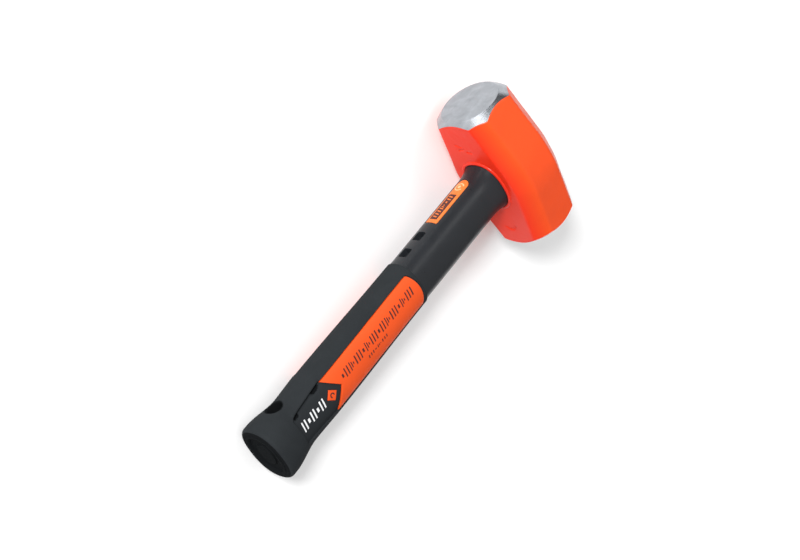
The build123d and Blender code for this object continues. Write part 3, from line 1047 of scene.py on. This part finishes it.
def curved_slab(name, place_top, place_bed, first, second, distance, material):
    """Slab on a curved bed whose upper edge is rounded, from grids of two coordinates."""
    share = np.clip(1 - distance / EDGE_ROUNDING, 0.0, 1.0)
    drop = EDGE_ROUNDING * (1 - np.sqrt(1 - share**2))
    top = place_top(first, second)
    bed = place_bed(first, second)
    towards = bed - top
    span = np.linalg.norm(towards, axis=-1, keepdims=True)
    top = top + towards / np.maximum(span, 1e-9) * np.minimum(drop[..., None], span * 0.9)
    return slab_object(name, top, bed, finishes()[material])


def build_inlay(face):
    """Orange inlay of one wide face, ending in a swallowtail."""
    sizes = bpy.context.scene.hammer_panel
    half_width = sizes.half_width - sizes.groove
    corner = sizes.corner - sizes.groove
    u = edge_steps(2 * half_width, 60) * 2 - 1
    v = edge_steps(sizes.tip_depth - sizes.top_depth, 200)
    x = half_width * u
    past = np.maximum(np.abs(x) - (half_width - corner), 0.0)
    start = top_arc(x) + sizes.groove + corner - np.sqrt(corner**2 - np.minimum(past, corner) ** 2)
    tail = np.abs(x) / half_width
    stop = sizes.notch_depth + tail * (sizes.tip_depth - sizes.notch_depth)
    depth = start[None, :] + v[:, None] * (stop - start)[None, :]
    x = np.broadcast_to(x, depth.shape)
    slope = math.hypot(sizes.tip_depth - sizes.notch_depth, half_width) / half_width
    distance = np.minimum(half_width - np.abs(x), depth - start[None, :])
    distance = np.minimum(distance, (stop[None, :] - depth) / slope)
    top, bed = wide_point(face, SURFACE_INSET), wide_point(face, sizes.recess - BED_GAP)
    piece = curved_slab(f"side_inlay_{face}_skin", top, bed, x, depth, distance, "inlay_orange")
    place_piece(piece, "inlay_orange", 50, f"side_inlay_{face}")


def build_label(end):
    """Amber label of one narrow face, round towards the head."""
    sizes = bpy.context.scene.hammer_panel
    half_width = sizes.label_half_width
    u = edge_steps(2 * half_width, 36) * 2 - 1
    v = edge_steps(sizes.label_end - sizes.label_top, 110)
    z = half_width * u
    start = sizes.label_top + half_width - np.sqrt(np.maximum(half_width**2 - z**2, 0.0))
    depth = start[None, :] + v[:, None] * (sizes.label_end - start)[None, :]
    z = np.broadcast_to(z, depth.shape)
    distance = label_distance(z, depth)
    top, bed = narrow_point(end, SURFACE_INSET), narrow_point(end, LABEL_RECESS - BED_GAP)
    piece = curved_slab(f"shank_label_{end}_skin", top, bed, z, depth, distance, "label_orange")
    place_piece(piece, "label_orange", 50, f"shank_label_{end}")


def build_badge(face):
    """Small square badge standing on its corner in the panel's floor."""
    sizes = bpy.context.scene.hammer_panel
    half = sizes.badge_side / 2
    steps = edge_steps(sizes.badge_side, 14) * 2 - 1
    a, b = np.meshgrid(steps * half, steps * half)
    x = (a + b) / math.sqrt(2)
    depth = sizes.badge_depth + (a - b) / math.sqrt(2)
    distance = half - np.maximum(np.abs(a), np.abs(b))
    top = wide_point(face, sizes.recess - sizes.badge_proud)
    bed = wide_point(face, sizes.recess + BADGE_SEAT - SURFACE_INSET)
    piece = curved_slab(f"badge_{face}_skin", top, bed, x, depth, distance, "badge_orange")
    place_piece(piece, "badge_orange", 50, f"badge_{face}")


def film_grid(place, corners, top, bed, count):
    """Top and bed of a thin film over a four-cornered patch of a curved face."""
    s, t = np.meshgrid(np.linspace(0, 1, count), np.linspace(0, 1, count))
    weights = ((1 - s) * (1 - t), s * (1 - t), s * t, (1 - s) * t)
    first, second = (MM * sum(w * corner[i] for w, corner in zip(weights, corners)) for i in (0, 1))
    return place(top)(first, second), place(bed)(first, second)


def ring_grid(place, centre, inner, outer, start, turn, top, bed):
    """Top and bed of a thin open ring on a curved face."""
    angles, radii = np.meshgrid(start + turn * np.linspace(0, 1, 40), np.linspace(inner, outer, 4))
    first = (centre[0] + radii * np.cos(angles)) * MM
    second = (centre[1] + radii * np.sin(angles)) * MM
    return place(top)(first, second), place(bed)(first, second)


def build_marks(name, grids, material, slot):
    """One piece made of every film of a group of marks."""
    points, polygons = [], []
    for top, bed in grids:
        film = slab_object(f"{name}_film", top, bed, finishes()[material])
        offset = len(points)
        points += [tuple(v.co) for v in film.data.vertices]
        polygons += [tuple(offset + i for i in p.vertices) for p in film.data.polygons]
        bpy.data.meshes.remove(film.data)
    place_piece(mesh_object(name, points, polygons, finishes()[material]), slot, 40)


# Plain patterns: width along the row, and the boxes in it from 0 to 1 along and across.
STROKES = {
    "pair": (3.6, ((0.0, 0.0, 0.28, 1.0), (0.72, 0.0, 1.0, 1.0))),
    "bar": (1.1, ((0.0, 0.0, 1.0, 1.0),)),
    "rising": (4.2, ((0.0, 0.36, 0.2, 0.64), (0.4, 0.18, 0.6, 0.82), (0.8, 0.0, 1.0, 1.0))),
    "short": (1.6, ((0.0, 0.3, 1.0, 0.7),)),
}
STROKE_GAP = 1.7
LONG_ROW = ("bar", "pair", "rising", "short", "pair", "bar", "rising", "pair", "short") * 2
SHORT_ROW = ("pair", "bar", "rising", "short", "pair", "bar")
WHITE_ROW = ("pair", "short", "pair", "short", "pair")
LABEL_ROW = ("pair", "short", "rising", "bar", "pair")


def stroke_row(cells, middle, start, stop, tall, slant):
    """Corners of every stroke in a row of slanted patterns that runs along the handle, in millimetres."""
    total = sum(STROKES[cell][0] for cell in cells) + STROKE_GAP * (len(cells) - 1)
    scale = (stop - start) / total
    corners = []
    at = start
    for cell in cells:
        width, boxes = STROKES[cell]
        width *= scale
        for near, low, far, high in boxes:
            patch = []
            for along, across in ((near, low), (near, high), (far, high), (far, low)):
                lean = slant * (2 * across - 1)
                patch.append((middle + tall * (across - 0.5), at + width * along + lean))
            corners.append(patch)
        at += width + STROKE_GAP * scale
    return corners


def build_wide_face_marks(face):
    """Rows of plain strokes on an inlay, an open ring on the badge and a white row below it."""
    sizes = bpy.context.scene.hammer_panel

    def on_face(inset):
        return wide_point(face, inset * MM)

    rows = stroke_row(LONG_ROW, -3.7, 105.0, 184.5, 6.2, 0.5)
    rows += stroke_row(SHORT_ROW, 3.2, 139.5, 160.0, 2.1, 0.2)
    dark = [film_grid(on_face, patch, 0.0, FILM, 5) for patch in rows]
    build_marks(f"inlay_marks_{face}", dark, "print_dark", "print_dark")
    badge_inset = (sizes.recess - sizes.badge_proud) / MM
    centre = (0.0, sizes.badge_depth / MM)
    emblem = [ring_grid(on_face, centre, 1.0, 1.9, 0.6, 4.6, badge_inset - 0.06, badge_inset + 0.1)]
    build_marks(f"badge_mark_{face}", emblem, "print_dark", "print_dark")
    floor = sizes.recess / MM
    white = stroke_row(WHITE_ROW, -1.0, 205.0, 227.5, 7.0, 0.5)
    films = [film_grid(on_face, patch, floor - 0.07, floor + FILM, 5) for patch in white]
    build_marks(f"panel_marks_{face}", films, "print_white", "print_white")


def build_label_marks(end):
    """A cream ring and dot near the label's round end, and amber strokes on a dark strip below them."""

    def on_end(inset):
        return narrow_point(end, inset * MM)

    centre = (0.0, 20.0)
    ring = [
        ring_grid(on_end, centre, 2.7, 3.6, 0.5, 5.4, 0.0, FILM),
        ring_grid(on_end, centre, 0.05, 1.3, 0.0, 6.2, 0.0, FILM),
    ]
    build_marks(f"label_ring_{end}", ring, "print_cream", "print_white")
    strip = [(-3.3, 27.5), (3.3, 27.5), (3.3, 52.0), (-3.3, 52.0)]
    build_marks(f"label_strip_{end}", [film_grid(on_end, strip, 0.0, FILM, 14)], "print_dark", "print_dark")
    bars = stroke_row(LABEL_ROW, 0.0, 29.5, 50.0, 3.6, 0.3)
    amber = [film_grid(on_end, patch, -0.06, 0.06, 4) for patch in bars]
    build_marks(f"label_strokes_{end}", amber, "label_orange", "label_orange")


# ---------------------------------------------------------------- stage


FLOOR_GAP = 0.2 * MM  # between the floor and the crest that rests on it
FLOOR_GLOW = 0.15  # keeps the shadows on the floor pale
CAMERA_PLACE = (-0.6921, -0.5860, 0.9998)
CAMERA_FORWARD = (0.518, 0.445, -0.730)
CAMERA_UP = (-0.717, 0.692, -0.086)


def build_floor():
    """Pale floor in the plane that the hammer rests on: the cheek's crest and the butt's rim."""
    stage = bpy.context.scene.hammer_stage
    head = bpy.context.scene.hammer_head
    handle = bpy.context.scene.hammer_handle
    crest_y = (HEAD_HIGH.y + underside_y()) / 2 - (head.square / 2 - head.chamfer)
    rim_low = AXIS_Z - handle.rim_x * handle.section_ratio
    slope = math.atan2(rim_low - HEAD_LOW.z, crest_y - (GRIP_LOW.y + 4 * MM))
    half = stage.floor_size / 2
    mesh = bpy.data.meshes.new("floor")
    corners = [(-half, -half, 0), (half, -half, 0), (half, half, 0), (-half, half, 0)]
    mesh.from_pydata(corners, [], [(0, 1, 2, 3)])
    floor = place_in_scene("floor", mesh)
    place = Matrix.Translation((0, crest_y, HEAD_LOW.z - FLOOR_GAP))
    floor.matrix_world = place @ Matrix.Rotation(-slope, 4, "X")
    finish = Finish("pale_floor")
    finish.set(base_color=(*stage.floor, 1.0), roughness=0.9, specular_ior_level=0.0)
    finish.set(emission_color=(1.0, 1.0, 1.0, 1.0), emission_strength=FLOOR_GLOW)
    mesh.materials.append(finish.material)


def area_light(name, position, target, width, height, power):
    """Rectangular area light that looks at a point."""
    data = bpy.data.lights.new(name, "AREA")
    data.shape = "RECTANGLE"
    data.size = width
    data.size_y = height
    data.energy = power
    light = place_in_scene(name, data)
    light.location = position
    light.rotation_euler = (Vector(target) - Vector(position)).to_track_quat("-Z", "Y").to_euler()


def build_camera():
    """Camera above the striking face, looking down the handle."""
    data = bpy.data.cameras.new("camera")
    data.lens = bpy.context.scene.hammer_stage.lens
    data.sensor_width = 36.0
    data.clip_start, data.clip_end = 0.05, 50.0
    camera = place_in_scene("camera", data)
    forward = Vector(CAMERA_FORWARD).normalized()
    right = forward.cross(Vector(CAMERA_UP)).normalized()
    turn = Matrix((right, right.cross(forward), -forward)).transposed().to_4x4()
    camera.matrix_world = Matrix.Translation(CAMERA_PLACE) @ turn
    bpy.context.scene.camera = camera


def build_light():
    """White surroundings, brighter overhead, a soft key, a weak fill and a low strip."""
    stage = bpy.context.scene.hammer_stage
    world = bpy.data.worlds.new("surroundings")
    world.use_nodes = True
    tree = world.node_tree
    background = tree.nodes["Background"]
    background.inputs["Color"].default_value = (1.0, 1.0, 1.0, 1.0)
    split = tree.nodes.new("ShaderNodeSeparateXYZ")
    tree.links.new(tree.nodes.new("ShaderNodeTexCoord").outputs["Generated"], split.inputs[0])
    overhead = range_node(tree, split.outputs["Z"], 0.0, 0.95, 0.10, 0.80)
    tree.links.new(overhead, background.inputs["Strength"])
    bpy.context.scene.world = world
    area_light("key", (-2.68, -1.44, 2.36), (0, 0.0, 0.03), 0.9, 0.9, stage.key_power)
    area_light("fill", (-0.4, 0.9, 1.2), (0, 0.05, 0.03), 0.5, 0.5, stage.fill_power)
    area_light("strip", (-2.6, 0.1, 0.42), (0, 0.1, 0.03), 2.6, 0.6, stage.strip_power)
    bpy.context.scene.view_settings.view_transform = "Standard"


# ---------------------------------------------------------------- add-on


class HAMMER_OT_head(Operator):
    """Build the painted head with its ground faces"""

    bl_idname = "hammer.head"
    bl_label = "Head"

    def execute(self, context):
        build_head()
        build_eye_lip()
        return {"FINISHED"}


class HAMMER_OT_core(Operator):
    """Finish the locking plate, rods, combs and end plate in steel and nylon"""

    bl_idname = "hammer.core"
    bl_label = "Steel core"

    def execute(self, context):
        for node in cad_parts:
            if node.startswith("core_rod"):
                repaint(node, "core_steel")
            elif node.startswith("rod_comb"):
                repaint(node, "comb_nylon")
        repaint("locking_plate", "plate_steel")
        repaint("core_end_plate", "plate_steel")
        return {"FINISHED"}


class HAMMER_OT_shank(Operator):
    """Build the shank"""

    bl_idname = "hammer.shank"
    bl_label = "Shank"

    def execute(self, context):
        build_shank()
        return {"FINISHED"}


class HAMMER_OT_grip(Operator):
    """Build the grip"""

    bl_idname = "hammer.grip"
    bl_label = "Grip"

    def execute(self, context):
        build_grip()
        return {"FINISHED"}


class HAMMER_OT_inlays(Operator):
    """Build the side inlays and the badges below them"""

    bl_idname = "hammer.inlays"
    bl_label = "Inlays and badges"

    def execute(self, context):
        for face in FACES:
            build_inlay(face)
            build_badge(face)
        return {"FINISHED"}


class HAMMER_OT_labels(Operator):
    """Build the labels on the shank's narrow faces"""

    bl_idname = "hammer.labels"
    bl_label = "Labels"

    def execute(self, context):
        for end in ENDS:
            build_label(end)
        return {"FINISHED"}


class HAMMER_OT_marks(Operator):
    """Build the printed bars and rings"""

    bl_idname = "hammer.marks"
    bl_label = "Printed marks"

    def execute(self, context):
        for face in FACES:
            build_wide_face_marks(face)
        for end in ENDS:
            build_label_marks(end)
        return {"FINISHED"}


class HAMMER_OT_stage(Operator):
    """Build the floor, lights and camera"""

    bl_idname = "hammer.stage"
    bl_label = "Stage"

    def execute(self, context):
        build_floor()
        build_light()
        build_camera()
        return {"FINISHED"}


OPERATORS = (
    HAMMER_OT_head,
    HAMMER_OT_core,
    HAMMER_OT_shank,
    HAMMER_OT_grip,
    HAMMER_OT_inlays,
    HAMMER_OT_labels,
    HAMMER_OT_marks,
    HAMMER_OT_stage,
)


class HAMMER_PT_panel(Panel):
    """Lists the hammer's pieces"""

    bl_label = "Club Hammer"
    bl_space_type = "VIEW_3D"
    bl_region_type = "UI"
    bl_category = "Hammer"

    def draw(self, context):
        for operator in OPERATORS:
            self.layout.operator(operator.bl_idname)


def register():
    for group in GROUPS.values():
        bpy.utils.register_class(group)
    for name, group in GROUPS.items():
        setattr(bpy.types.Scene, name, PointerProperty(type=group))
    for item in (*OPERATORS, HAMMER_PT_panel):
        bpy.utils.register_class(item)


def unregister():
    for item in (HAMMER_PT_panel, *reversed(OPERATORS)):
        bpy.utils.unregister_class(item)
    for name in GROUPS:
        delattr(bpy.types.Scene, name)
    for group in GROUPS.values():
        bpy.utils.unregister_class(group)


def main():
    register()
    for operator in OPERATORS:
        family, name = operator.bl_idname.split(".")
        getattr(getattr(bpy.ops, family), name)()


if __name__ == "__main__":
    main()
